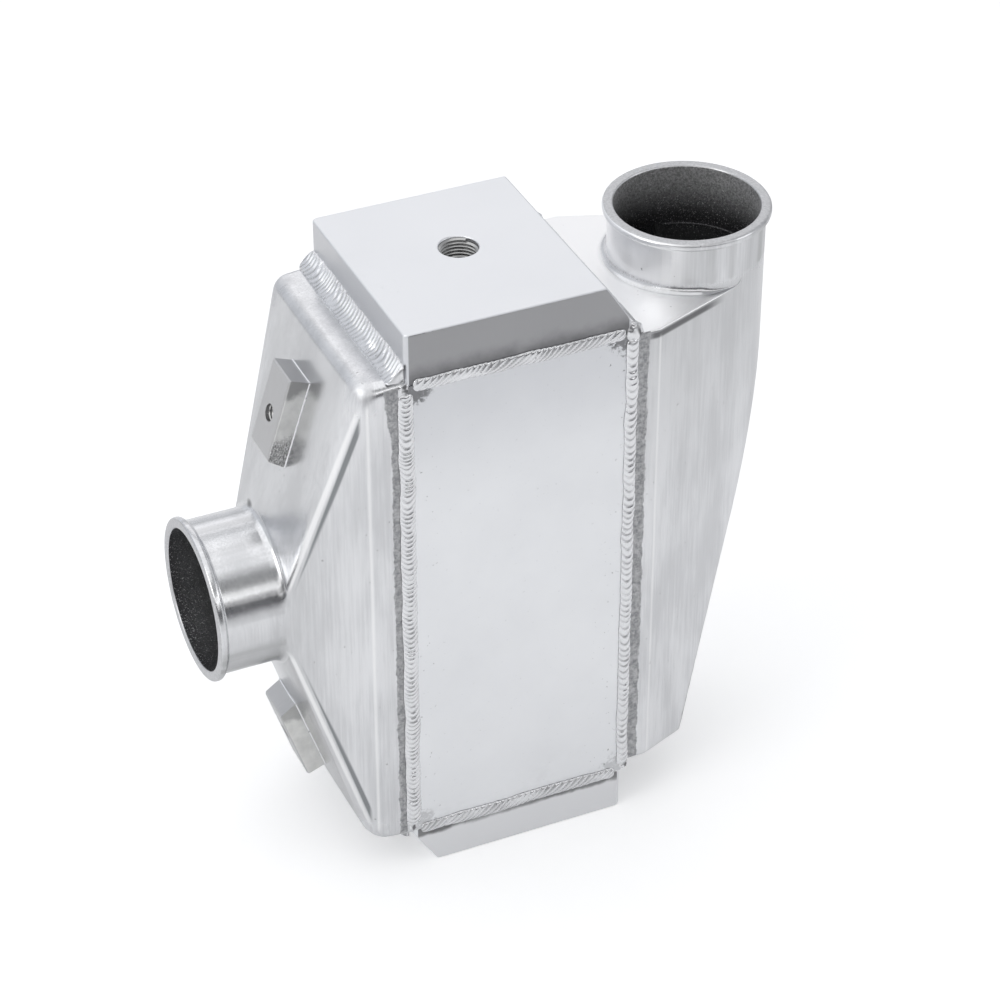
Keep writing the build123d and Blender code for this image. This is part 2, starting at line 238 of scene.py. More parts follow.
def ridge_highlight_and_shadow(x, across, up):
    """A painted highlight along the crest of the left tank's corner ridges, and a painted shadow beside it.
    """
    gone = (RIDGE_FROM[2] - up) / (RIDGE_FROM[2] - RIDGE_TO[2])
    outwards = x + RIDGE_FROM[0] + gone * (RIDGE_TO[0] - RIDGE_FROM[0])
    sideways = across - RIDGE_FROM[1] + gone * (RIDGE_FROM[1] - RIDGE_TO[1])
    # Painted highlight along the ridge's crest
    crest_highlight = (1 - (outwards ** 2 + sideways ** 2).step(0.8, 5.0)) * up.within(20, 122, 4) * 0.7
    shadow = outwards.within(2.5, 4.9, 0.5) * across.step(33, 36) * up.step(17, 22)
    shadow = shadow * (1 - sideways.step(2.2, 3.2)) * (1 - x.step(-80, -78))
    return crest_highlight, shadow


def bend_glint(x, across, up):
    """Painted glints: thin bright lines along the upright bends of both tanks."""
    on_face = across.step(49, 51) * (1 - up.step(124, 128))
    return (x.within(-76.4, -75.0, 0.6) * 0.6 + x.within(71.3, 72.3, 0.6) * 0.45) * on_face


def painted_dark_reflections(place, x, z, across, left_stub, right_stub):
    """Painted dark reflections and painted shade on the polish: bands round the stubs, and what faces away.
    """
    # Painted reflections: dark bands round both stubs
    upright_bands = grain(place, 1.0, 2, 0.5, (0.13, 0.13, 0.004)) * right_stub
    bands = upright_bands + grain(place, 1.0, 2, 0.5, (0.004, 0.13, 0.13)) * left_stub
    dark = bands.step(0.42, 0.66) * 0.5
    # Painted shade on the right tank's face, the left stub's lower side, the right stub's right side and the
    # left tank's sloping faces
    dark = dark + x.step(57, 60) * z.step(150, 290) * (1 - right_stub) * 0.40
    dark = dark + left_stub * (1 - z.step(125, 170)) * 0.75
    dark = dark + right_stub * (x - RIGHT_STUB).step(2, 32) * 0.6
    dark = dark + (1 - x.step(-80, -74)) * (1 - left_stub) * (1 - across.step(30, 60)) * 0.35
    return dark.capped()


def bore_colour(place, x, z):
    """The rough, sandy inside of a stub, with painted sparkle and painted shade; the right one has painted
    light from above.
    """
    sparkle = grain(place, 1.4, 2, 0.7).step(0.60, 0.66)
    sand = grain(place, 0.8, 3, 0.7).step(0.35, 0.65)
    # Painted light on the right bore's upper part; elsewhere the bore is painted in shade
    painted_light_from_above = z.step(284, 310) * x.step(-1, 1)
    rough = painted_light_from_above.mix((0.09, 0.09, 0.095, 1), (0.66, 0.66, 0.665, 1))
    return layered(
        rough,
        (sand * 0.45, (0.05, 0.05, 0.05, 1)),
        # Painted sparkle
        (sparkle * 0.7, (0.90, 0.90, 0.91, 1)),
    )


def polished_casting():
    """Cast aluminium, hand polished, with a matt strip beside each upright weld and a rough bore."""
    material, shader, place = surface("polished cast aluminium", (0.86, 0.865, 0.88))
    x, y, z = axes(place)
    across, up = abs(y), abs(z - STUB_HEIGHT)
    cloud = grain(place, 0.02, 3)
    fine = grain(place, 0.9, 4, 0.6)
    brushed = grain(place, 1.0, 3, 0.6, (0.9, 0.9, 0.025))
    smear = grain(place, 1.0, 4, 0.6, (0.05, 0.05, 0.012))
    pits = grain(place, 0.45, 2, 0.5).step(0.735, 0.76)

    strip = matt_strip(place, x, z, across)
    crest_highlight, shadow = ridge_highlight_and_shadow(x, across, up)
    left_stub = 1 - x.step(-113, -110)
    right_stub = z.step(286, 292) * x.step(60, 62)
    painted_light_on_right_stub = right_stub * (1 - (x - RIGHT_STUB).step(-30, -10))
    from_stub = (x - RIGHT_STUB) ** 2 + y ** 2
    roof = z.within(RIGHT_TOP - 0.6, RIGHT_TOP + 0.4, 0.2) * x.step(57, 58) * from_stub.step(40 ** 2, 43 ** 2)
    painted_shade_under_roof = z.within(281.0, 284.4, 0.9) * x.step(63, 69) * (1 - x.step(100, 116)) * across.step(20, 30)
    # Squared distance from a painted shadow at the left stub's upper foot
    from_shade_spot = (x + 108.6) ** 2 + (y - 11) ** 2 * 0.3 + (z - 193.2) ** 2
    rim = (1 - x.step(LEFT_END + 0.35, LEFT_END + 0.65)) + z.step(RIGHT_RIM - 0.5, RIGHT_RIM - 0.2)
    bore = noted(place, "bore")
    ear = (1 - x.step(-74, -70)) * up.step(120, 128) * across.step(42, 48)

    tone = ((smear - 0.5) * 2.4 + (brushed - 0.5) * 1.2 + (cloud - 0.5) + 0.5).step(0.0, 1.0)
    ground = grain(place, 0.5, 4, 0.75).step(0.3, 0.7)
    colour = layered(
        tone.mix((0.65, 0.655, 0.67, 1), (0.815, 0.82, 0.835, 1)),
        # Painted dark reflections and painted shade
        (painted_dark_reflections(place, x, z, across, left_stub, right_stub), (0.47, 0.475, 0.48, 1)),
        # Painted shade: a dark line just under the right tank's roof edge
        (painted_shade_under_roof * 0.9, (0.12, 0.12, 0.125, 1)),
        # A painted shadow spot at the left stub's upper foot
        ((1 - from_shade_spot.step(3, 13)) * 0.9, (0.05, 0.05, 0.055, 1)),
        # Painted light on the right stub's left side
        (painted_light_on_right_stub * 0.8, (0.98, 0.98, 0.985, 1)),
        # Painted highlight on the right tank's roof round the stub
        (roof, (0.93, 0.93, 0.935, 1)),
        (pits * 0.7, (0.3, 0.3, 0.3, 1)),
        # Painted shadow beside the ridges
        (shadow * 0.9, (0.22, 0.23, 0.24, 1)),
        # Painted highlights on the ridges' crests and painted glints along the bends
        (crest_highlight.math("MAXIMUM", bend_glint(x, across, up)), (1.0, 1.0, 1.0, 1)),
        (strip, ground.mix((0.27, 0.275, 0.285, 1), (0.58, 0.58, 0.59, 1))),
        (rim, grain(place, 0.8, 3, 0.7).mix((0.36, 0.365, 0.375, 1), (0.80, 0.80, 0.81, 1))),
        (bore, bore_colour(place, x, z)),
    )
    roughness = 0.15 + cloud * 0.10 + brushed * 0.07 + strip * 0.3 + bore * 0.3 + rim * 0.2
    roughness = roughness + roof * 0.22 + right_stub * 0.07 + ear * 0.22
    bump = fine * 0.25 + brushed * 0.35 + cloud * 2.0 + grain(place, 0.9, 3, 0.7) * bore * 9.0
    feed(shader, Base_Color=colour, Roughness=roughness, Normal=relief(bump, 0.35, 0.12))
    return material


# Sheet, blocks, threads, welds and the core's inside

def corner_soot(place, x, z):
    """Soot in the side plates' corners, with less of it at the bottom."""
    corner = (abs(x).step(38, 55) + abs(z - STUB_HEIGHT).step(112, 130)) * 0.5
    soot = (grain(place, 0.22, 5, 0.8) + corner * 0.5).step(0.79, 0.91)
    return soot * corner.step(0.50, 0.72) * (z.step(100, 200) * 0.65 + 0.35)


def water_tank_faces(place, x, z, on_front):
    """Painted shade on the water tanks' faces: the top front, smoked at its foot, the bottom front with a
    dark line under its weld, and the top tank's left end.
    """
    above = z.step(CORE_TOP - 0.1, CORE_TOP + 0.1) * (1 - z.step(PART_TOP - 0.9, PART_TOP - 0.3))
    below = 1 - z.step(CORE_BOTTOM - 0.1, CORE_BOTTOM + 0.1)
    left_end = 1 - x.step(0.10 - HALF, 0.25 - HALF)
    ragged = z + (grain(place, 0.08, 4, 0.6) - 0.5) * 10
    smoke_and_painted_shade = ragged.step(289, 300).mix((0.15, 0.15, 0.155, 1), (0.385, 0.385, 0.395, 1))
    smoke_and_painted_shade = (grain(place, 0.05, 4, 0.6) * 0.4).mix(smoke_and_painted_shade, (0.36, 0.36, 0.37, 1))
    line = (ragged * 0.5 + z * 0.5).step(16.8, 19.4) * (0.35 + grain(place, 0.03, 3, 0.6)).capped()
    return (
        # Painted shade over the top tank's front, with smoke at its foot
        (on_front * above, smoke_and_painted_shade),
        # The bottom tank's front painted a shade darker
        (on_front * below, (0.81, 0.815, 0.83, 1)),
        (on_front * below * line, (0.20, 0.20, 0.205, 1)),
        # Painted shade on the top tank's left end
        (left_end * above, (0.64, 0.645, 0.66, 1)),
    )


def bright_sheet():
    """Rolled aluminium sheet, faintly stained, with soot and specks of spatter near the welds."""
    material, shader, place = surface("bright aluminium sheet", (0.86, 0.87, 0.89))
    x, y, z = axes(place)
    up = abs(z - STUB_HEIGHT)
    cloud = grain(place, 0.016, 4, 0.6)
    fine = grain(place, 1.4, 3, 0.6)
    scratches = grain(place, 1.0, 3, 0.6, (0.9, 0.9, 0.02))
    near_end = abs(x).step(34, 56)
    spread = (near_end * 0.55 + near_end * up.step(96, 131) * 0.9 + 0.10).capped()
    specks = grain(place, 0.42, 3, 0.6).step(0.655, 0.70) * spread
    dirt = (specks + corner_soot(place, x, z) * 0.8).capped()
    stain = grain(place, 0.04, 4, 0.7).step(0.50, 0.75) * up.step(100, 130) * 0.35
    on_front = 1 - y.step(0.10 - HALF, 0.25 - HALF)
    colour = layered(
        stain.mix((0.93, 0.94, 0.955, 1), (0.65, 0.65, 0.66, 1)),
        # Painted shade darker towards the top, over cloudy patches of tone
        ((cloud * 0.5 + z.step(215, 287) * 0.75).capped(), (0.72, 0.73, 0.755, 1)),
        # The top tank's top face painted a shade darker than the rest of the sheet
        (z.step(PART_TOP - 0.5, PART_TOP - 0.1), (0.79, 0.80, 0.82, 1)),
        (dirt * on_front, (0.13, 0.13, 0.135, 1)),
        # Painted shade on the water tanks' faces
        *water_tank_faces(place, x, z, on_front),
    )
    roughness = 0.30 + cloud * 0.14 + scratches * 0.05
    bump = fine * 0.3 + cloud * 2.5 + scratches * 0.3 - specks * 3
    feed(shader, Base_Color=colour, Roughness=roughness, Normal=relief(bump, 0.3, 0.12))
    return material


def milled_block():
    """Milled aluminium with sawn sides; the upper block's are sandy at the foot and burnt at the top."""
    material, shader, place = surface("milled aluminium", (0.72, 0.72, 0.73))
    _, y, z = axes(place)
    up = abs(z - STUB_HEIGHT)
    marks = grain(place, 1.0, 3, 0.6, (0.15, 3.0, 0.15))
    sand = grain(place, 1.1, 3, 0.75)
    patches = grain(place, 0.12, 4, 0.6)
    on_side = 1 - y.step(0.1 - BLOCK_HALF, 0.4 - BLOCK_HALF)
    upper = z.step(150, 160)
    burnt = on_side * (up + patches * 14).step(114, 119) * upper
    burnt = burnt + (1 - upper) * (1 - (up + patches * 10).step(84, 88)) * on_side * 0.7
    sandy = on_side * (1 - (up + patches * 12).step(90, 97)) * upper
    colour = layered(
        marks.mix((0.47, 0.47, 0.475, 1), (0.58, 0.58, 0.585, 1)),
        (on_side, patches.mix((0.50, 0.50, 0.49, 1), (0.92, 0.92, 0.90, 1))),
        (sandy, sand.step(0.42, 0.6).mix((0.25, 0.25, 0.25, 1), (0.75, 0.75, 0.75, 1))),
        (burnt * 0.85, (0.28, 0.28, 0.28, 1)),
    )
    roughness = 0.22 + marks * 0.2 + sandy * 0.2
    bump = marks + sand * (sandy * 5 + 0.6)
    feed(shader, Base_Color=colour, Roughness=roughness, Normal=relief(bump, 0.4, 0.15))
    return material


def cut_thread():
    """Metal of the threads, painted darker as shade deep in their holes."""
    material, shader, place = surface("cut thread", (0.5, 0.5, 0.5))
    cloud = grain(place, 0.3, 3, 0.6)
    # Painted shade: the threads' colour kept dark for their depth
    colour = cloud.mix((0.34, 0.34, 0.34, 1), (0.62, 0.62, 0.61, 1))
    feed(shader, Base_Color=colour, Roughness=0.22 + cloud * 0.15)
    return material


def weld_metal():
    """Bright weld bead with dark lines between its ripples."""
    material, shader, place = surface("weld bead", (0.84, 0.84, 0.85))
    cloud = grain(place, 0.12, 3, 0.6)
    fine = grain(place, 1.6, 3, 0.7)
    soot = grain(place, 0.5, 3, 0.6).step(0.66, 0.74)
    groove = noted(place, "groove")
    bright = cloud.mix((0.74, 0.745, 0.76, 1), (0.93, 0.935, 0.95, 1))
    colour = soot.math("MAXIMUM", groove * 0.95).mix(bright, (0.16, 0.16, 0.165, 1))
    roughness = 0.16 + cloud * 0.16 + groove * 0.3
    feed(shader, Base_Color=colour, Roughness=roughness, Normal=relief(fine, 0.2, 0.1))
    return material


def brazed_core():
    """Matt brazed aluminium of the core's inside."""
    material, shader, place = surface("brazed aluminium", (0.6, 0.6, 0.61))
    cloud = grain(place, 0.05, 4, 0.6)
    colour = cloud.mix((0.48, 0.48, 0.49, 1), (0.7, 0.7, 0.71, 1))
    feed(shader, Base_Color=colour, Roughness=0.4 + cloud * 0.2)
    return material


# Mesh tools

def finish_mesh(name, bm, material, slot, *nodes, smooth=35, flat=False):
    """Makes a piece of a bmesh, with its material and its body, and hides the nodes that it stands for."""
    bmesh.ops.remove_doubles(bm, verts=bm.verts, dist=1e-7)
    bmesh.ops.recalc_face_normals(bm, faces=bm.faces)
    mesh = bpy.data.meshes.new(name)
    bm.to_mesh(mesh)
    bm.free()
    mesh.materials.append(material)
    mesh.shade_smooth()
    mesh.set_sharp_from_angle(angle=radians(smooth))
    if flat:
        normals = [Vector() for _ in mesh.vertices]
        for polygon in mesh.polygons:
            for index in polygon.vertices:
                normals[index] += polygon.normal * polygon.area
        mesh.normals_split_custom_set_from_vertices([n.normalized() for n in normals])
    piece = bpy.data.objects.new(name, mesh)
    bpy.context.collection.objects.link(piece)
    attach(piece, "root")
    if nodes:
        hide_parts(*nodes)
    return piece


def rounded_path(corners, radii, steps):
    """A polyline's points with each inner corner rounded by an arc of its radius, in equal numbers."""
    points = [corners[0]]
    for before, corner, after, radius, count in zip(corners, corners[1:], corners[2:], radii, steps):
        if count == 0:
            points.append(corner)
            continue
        back = (before - corner).normalized()
        ahead = (after - corner).normalized()
        half = back.angle(ahead) / 2
        if half > pi / 2 - 0.002:
            points += [corner.copy() for _ in range(count + 1)]
            continue
        reach = min(radius / tan(half), (before - corner).length * 0.49, (after - corner).length * 0.49)
        radius = reach * tan(half)
        centre = corner + (back + ahead).normalized() * (radius / sin(half))
        start = corner + back * reach - centre
        end = corner + ahead * reach - centre
        turn = start.angle(end)
        for step in range(count + 1):
            share = step / count
            points.append(centre + (start * sin((1 - share) * turn) + end * sin(share * turn)) / sin(turn))
    points.append(corners[-1])
    return points


def woven(columns, closed):
    """A bmesh whose rings run through the columns' points of like number; the columns stand in a circle."""
    bm = bmesh.new()
    number = bm.verts.layers.int.new("column")
    first = bmesh.ops.create_circle(bm, segments=len(columns), radius=1)["verts"]
    for index, vert in enumerate(first):
        vert[number] = index
        vert.co = columns[index][0]
    edges = list(bm.edges)
    start = list(edges)
    for level in range(1, len(columns[0])):
        grown = bmesh.ops.extrude_edge_only(bm, edges=edges)["geom"]
        for item in grown:
            if isinstance(item, bmesh.types.BMVert):
                item.co = columns[item[number]][level]
        edges = [item for item in grown if isinstance(item, bmesh.types.BMEdge)
                 and (item.verts[0].co - columns[item.verts[0][number]][level]).length < 1e-9
                 and (item.verts[1].co - columns[item.verts[1][number]][level]).length < 1e-9
                 and item.verts[0][number] != item.verts[1][number]]
    if closed:
        bmesh.ops.bridge_loops(bm, edges=start + edges)
    return bm


def mark_bore(piece, inside):
    """Notes on each vertex whether it belongs to the rough inside of a casting."""
    layer = piece.data.attributes.new("bore", "FLOAT", "POINT")
    for vert in piece.data.vertices:
        layer.data[vert.index].value = float(inside(vert.co * 1000 + Vector((FRAME_SHIFT, 0, 0))))


# Left end tank

def left_columns():
    """The left tank's columns: from the core along the outside to the rim, and back through the bore."""
    half_height = CORE_HEIGHT / 2 + 3.25
    inner_half_height = half_height - 7
    inner_bend, bore_root = 16, LEFT_ROOT - 3
    weld_corner, bend_corner = 4.5, 8.5
    side_count, corner_count, top_count = 12, 8, 20

    def rectangle(corner):
        quarter = []
        for i in range(side_count):
            quarter.append((HALF, (half_height - corner) * i / side_count))
        for i in range(corner_count + 1):
            turn = radians(90 * i / corner_count)
            quarter.append((HALF - corner + corner * cos(turn), half_height - corner + corner * sin(turn)))
        for i in range(1, top_count + 1):
            quarter.append(((HALF - corner) * (1 - i / top_count), half_height))
        return quarter

    low, high = RIDGE - RIDGE_HALF, RIDGE + RIDGE_HALF
    angles = [low * i / side_count for i in range(side_count)]
    angles += [low + 2 * RIDGE_HALF * i / corner_count for i in range(corner_count + 1)]
    angles += [high + (90 - high) * i / top_count for i in range(1, top_count + 1)]
    tops = [0.0] * side_count + [i / corner_count for i in range(corner_count + 1)] + [1.0] * top_count
    around = list(zip(rectangle(bend_corner), rectangle(weld_corner), angles, tops))
    around += [((-b[0], b[1]), (-w[0], w[1]), 180 - angle, top) for b, w, angle, top in reversed(around[:-1])]
    around += [((-b[0], -b[1]), (-w[0], -w[1]), angle + 180, top) for b, w, angle, top in around[1:-1]]
    out = Vector((-1, 0, 0))
    columns = []
    for (y, z), (weld_y, weld_z), angle, top in around:
        ray = Vector((0, cos(radians(angle)), sin(radians(angle))))
        wide = Vector((0, y, z))
        weld = Vector((0, weld_y, weld_z))
        inner_wide = Vector((0, y * (HALF - WALL) / HALF, z * inner_half_height / half_height))
        bend = LEFT_SIDE_BEND + (LEFT_TOP_BEND - LEFT_SIDE_BEND) * top
        bend_radius = 10 + ((12 if z < 0 else 7) - 10) * top
        corners = [
            weld,
            weld + out * 0.3,
            wide + out * bend,
            ray * STUB_RADIUS + out * LEFT_ROOT,
            ray * STUB_RADIUS + out * (LEFT_RIM - LIP_LENGTH),
            ray * LIP_RADIUS + out * (LEFT_RIM - LIP_LENGTH * 0.8),
            ray * LIP_RADIUS + out * LEFT_RIM,
            ray * BORE_RADIUS + out * LEFT_RIM,
            ray * BORE_RADIUS + out * bore_root,
            inner_wide + out * inner_bend,
            inner_wide,
        ]
        radii = [0, bend_radius, 4.5 + 2 * (1 - top), 1.2, 1.8, 1.6, 0.9, 4, 4]
        path = rounded_path(corners, radii, [0, 8, 8, 4, 6, 6, 4, 4, 4])
        columns.append([at(p.x - HALF, -p.y, p.z + STUB_HEIGHT) for p in path])
    return columns


def make_left_tank():
    """The left casting, with the inside of its stub noted as bore."""
    bm = woven(left_columns(), True)
    tank = finish_mesh("left_tank_casting", bm, casting, "cast_tank", "left_end_tank", smooth=40, flat=True)

    def inside(p):
        in_stub = LEFT_END + 0.85 < p.x < -HALF - LEFT_ROOT
        return in_stub and hypot(p.y, p.z - STUB_HEIGHT) < BORE_RADIUS + 0.05
    mark_bore(tank, inside)


# Right end tank

def wall_reach(height):
    """How far the sloping outer wall is from the core's middle at this height."""
    lean = (STUB_OUT + STUB_RADIUS - WALL_FOOT_OUT) / (CORE_HEIGHT - WALL_STOPS_BELOW)
    return HALF + WALL_FOOT_OUT + (height - CORE_BOTTOM) * lean


def plan_outline(inset):
    """The right tank's plan, as points round it, with the stub's half circle and the collar."""
    radius = STUB_RADIUS - inset
    width = HALF - inset
    bend = RIGHT_COLLAR - 0.2 * inset
    span = hypot(RIGHT_STUB - bend, width)
    reach = sqrt(span ** 2 - radius ** 2)
    direction = atan2(width, RIGHT_STUB - bend) - atan2(radius, reach)
    tangent = Vector((bend + reach * cos(direction), width - reach * sin(direction), 0))
    start = atan2(tangent.y, tangent.x - RIGHT_STUB)
    stub_steps, side_steps, core_steps = 48, 24, 8
    turns = [start * i / stub_steps for i in range(stub_steps + 1)]
    half = [Vector((RIGHT_STUB + radius * cos(turn), radius * sin(turn), 0)) for turn in turns]
    side = rounded_path([tangent, Vector((bend, width, 0)), Vector((HALF, width, 0))], [10], [6])
    half += [tangent.lerp(side[1], i / side_steps) for i in range(1, side_steps)] + side[1:-1]
    half += [Vector((HALF + 0.3, width, 0)), Vector((HALF, width, 0)), Vector((HALF, width - 0.3, 0))]
    half += [Vector((HALF, width * (1 - i / core_steps), 0)) for i in range(1, core_steps + 1)]
    return half + [Vector((p.x, -p.y, 0)) for p in reversed(half[1:-1])]


def softly_less(first, second, blend):
    """The smaller of two lengths, with the change between them rounded."""
    overlap = max(blend - abs(first - second), 0) / blend
    return min(first, second) - overlap * overlap * blend / 4


def right_columns():
    """The right tank's columns: from the floor's middle up the outside to the rim, and down inside."""
    columns = []
    heart = Vector((HEART, 0, 0))
    stub = Vector((RIGHT_STUB, 0, 0))
    up = Vector((0, 0, 1))
    levels, edge_steps, inner_levels = 64, 6, 12
    roof = RIGHT_TOP - WALL
    inner_floor = RIGHT_BOTTOM + WALL
    for outer, inner in zip(plan_outline(0), plan_outline(WALL)):
        if inner.x < HALF + 0.01:
            inner = Vector((HALF + 0.6, inner.y, 0))
        ray = (outer - heart).normalized()
        inner_ray = (inner - heart).normalized()
        around = (outer - stub).normalized()
        reach = (outer - heart).length
        inner_reach = (inner - heart).length

        def skin(height, shrink, reach, direction, wall):
            length = reach
            if direction.x > 0.05:
                length = softly_less(reach, (wall_reach(height) - wall - HEART) / direction.x, 6.0)
            return heart + direction * (length - shrink) + up * height

        edge = skin(RIGHT_BOTTOM, FLOOR_EDGE, reach, ray, 0)
        middle = heart + up * RIGHT_BOTTOM
        path = [middle, middle.lerp(edge, 0.5)]
        for i in range(edge_steps + 1):
            turn = pi / 2 * i / edge_steps
            rise = FLOOR_EDGE * (1 - cos(turn))
            path.append(skin(RIGHT_BOTTOM + rise, FLOOR_EDGE * (1 - sin(turn)), reach, ray, 0))
        wall_height = RIGHT_TOP - 1.2 - RIGHT_BOTTOM - FLOOR_EDGE
        for i in range(1, levels):
            path.append(skin(RIGHT_BOTTOM + FLOOR_EDGE + wall_height * i / levels, 0, reach, ray, 0))

        corners = [
            outer + up * (RIGHT_TOP - 6),
            outer + up * RIGHT_TOP,
            stub + around * STUB_RADIUS + up * RIGHT_TOP,
            stub + around * STUB_RADIUS + up * (RIGHT_RIM - LIP_LENGTH),
            stub + around * LIP_RADIUS + up * (RIGHT_RIM - LIP_LENGTH * 0.8),
            stub + around * LIP_RADIUS + up * RIGHT_RIM,
            stub + around * BORE_RADIUS + up * RIGHT_RIM,
            stub + around * BORE_RADIUS + up * roof,
        ]
        rest = max((outer - stub).length - STUB_RADIUS, 0)
        if rest < 0.3:
            corners[1] = outer + up * (RIGHT_TOP - 1)
            corners[2] = outer + up * (RIGHT_TOP + 3)
        radii = [min(1.3, rest * 0.3), min(4.5, rest * 0.5), 1.2, 1.8, 1.6, 0.9]
        path += rounded_path(corners, radii, [4, 8, 4, 5, 5, 4])[1:]

        top_inner = skin(roof, 0, inner_reach, inner_ray, WALL)
        path += [path[-1].lerp(top_inner, 0.5), top_inner]
        for i in range(1, inner_levels + 1):
            height = roof + (inner_floor - roof) * i / inner_levels
            path.append(skin(height, 0, inner_reach, inner_ray, WALL))
        inner_middle = heart + up * inner_floor
        path += [inner_middle.lerp(path[-1], 0.5), inner_middle]
        columns.append([at(p.x, p.y, p.z) for p in path])
    return columns


def make_right_tank():
    """The right casting, with the inside of its stub noted as bore."""
    bm = woven(right_columns(), False)
    tank = finish_mesh("right_tank_casting", bm, casting, "cast_tank", "right_end_tank", smooth=40, flat=True)

    def inside(p):
        in_stub = RIGHT_TOP - 4.5 < p.z < RIGHT_RIM - 0.85
        return in_stub and hypot(p.x - RIGHT_STUB, p.y) < BORE_RADIUS + 0.05
    mark_bore(tank, inside)


# Water tanks, mount blocks and threads

def eased_copy(node, name, material, slot, width):
    """A copy of a node with its flat faces whole again and its sharp edges eased."""
    bm = bmesh.new()
    bm.from_mesh(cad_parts[node].data)
    bmesh.ops.remove_doubles(bm, verts=bm.verts, dist=1e-6)
    bmesh.ops.dissolve_limit(bm, angle_limit=radians(1.5), verts=bm.verts, edges=bm.edges)
    sharp = [e for e in bm.edges if len(e.link_faces) == 2 and e.calc_face_angle() > radians(20)]
    bmesh.ops.bevel(bm, geom=sharp, offset=width / 1000, offset_type="OFFSET", affect="EDGES",
                    segments=3, profile=0.5, material=-1, clamp_overlap=True)
    return finish_mesh(name, bm, material, slot, node, smooth=35, flat=True)


def make_thread(name, mouth, outward, slot, radius, pitch, turns, depth):
    """A thread's turns on a hole's wall, from just below its mouth."""
    side = outward.orthogonal().normalized()
    bm = bmesh.new()
    profile = [(radius + 0.05, -0.46), (radius - depth, -0.06), (radius - depth, 0.06), (radius + 0.05, 0.46)]
    verts = [bm.verts.new(mouth + (side * r + outward * (h - 0.9) * pitch) / 1000) for r, h in profile]
    face = bm.faces.new(verts)
    steps = 48
    bmesh.ops.spin(bm, geom=[face], cent=mouth, axis=outward, dvec=outward * (-pitch / 1000 / steps),
                   angle=2 * pi * turns, steps=steps * turns, use_merge=False, use_duplicate=False)
    finish_mesh(name, bm, thread_finish, slot, smooth=30)


def make_threads():
    """The threads of the two ports, and those of the two blocks, whose holes are square to their faces."""
    for level, height, way in (("top", PART_TOP, 1), ("bottom", 0, -1)):
        mouth = at(-PORT_ACROSS * way, PORT_BACK, height)
        make_thread(f"{level}_port_thread", mouth, Vector((0, 0, way)), "sheet_metal", **PORT_THREAD)
    slope = (BLOCK_NEAR[1] - BLOCK_FAR[1]) / (BLOCK_FAR[0] - BLOCK_NEAR[0])
    out = BLOCK_NEAR[1] - slope * (BLOCK_HOLE - BLOCK_NEAR[0])
    for level, way in (("upper", 1), ("lower", -1)):
        mouth = at(-HALF - out, 0, STUB_HEIGHT + way * BLOCK_HOLE)
        outward = Vector((-1, 0, way * slope)).normalized()
        make_thread(f"{level}_hole_thread", mouth, outward, "block_metal", **HOLE_THREAD)


# Core

def make_air_fin(node):
    """A finely folded fin in the box of the solids' coarse one."""
    low, high = (Vector(corner) * 1000 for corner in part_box(node))
    folds = round((high.z - low.z) / FIN_PITCH)
    pitch = (high.z - low.z - FIN_METAL) / folds
    left, right = low.y + FIN_METAL, high.y - FIN_METAL
    bm = bmesh.new()
    fold = [(left, 0), (left, pitch / 2), (right, pitch / 2), (right, pitch), (left, pitch)]
    verts = [bm.verts.new(Vector((low.x, y, low.z + FIN_METAL / 2 + z)) / 1000) for y, z in fold]
    edges = [bm.edges.new(pair) for pair in zip(verts, verts[1:])]
    for number in range(1, folds):
        copied = bmesh.ops.duplicate(bm, geom=verts + edges)["geom"]
        moved = [item for item in copied if isinstance(item, bmesh.types.BMVert)]
        bmesh.ops.translate(bm, verts=moved, vec=(0, 0, pitch * number / 1000))
    bmesh.ops.remove_doubles(bm, verts=bm.verts, dist=1e-6)
    grown = bmesh.ops.extrude_edge_only(bm, edges=bm.edges)["geom"]
    moved = [item for item in grown if isinstance(item, bmesh.types.BMVert)]
    bmesh.ops.translate(bm, verts=moved, vec=((high.x - low.x) / 1000, 0, 0))
    bmesh.ops.recalc_face_normals(bm, faces=bm.faces)
    bmesh.ops.solidify(bm, geom=bm.faces, thickness=FIN_METAL / 1000)
    finish_mesh(f"{node}_folds", bm, core_finish, "core_metal", node, smooth=30)


def dress_solids():
    """Gives the solids that stay in view their materials: the side plates are sheet, the rest is brazed."""
    for name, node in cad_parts.items():
        if node.hide_render:
            continue
        finish = sheet if name in ("front_side_plate", "back_side_plate") else core_finish
        node.data.materials.clear()
        node.data.materials.append(finish)


# Welds

def wave(first, second, third):
    """Smooth noise, from about -1 to 1."""
    return noise.noise(Vector((first, second, third)))


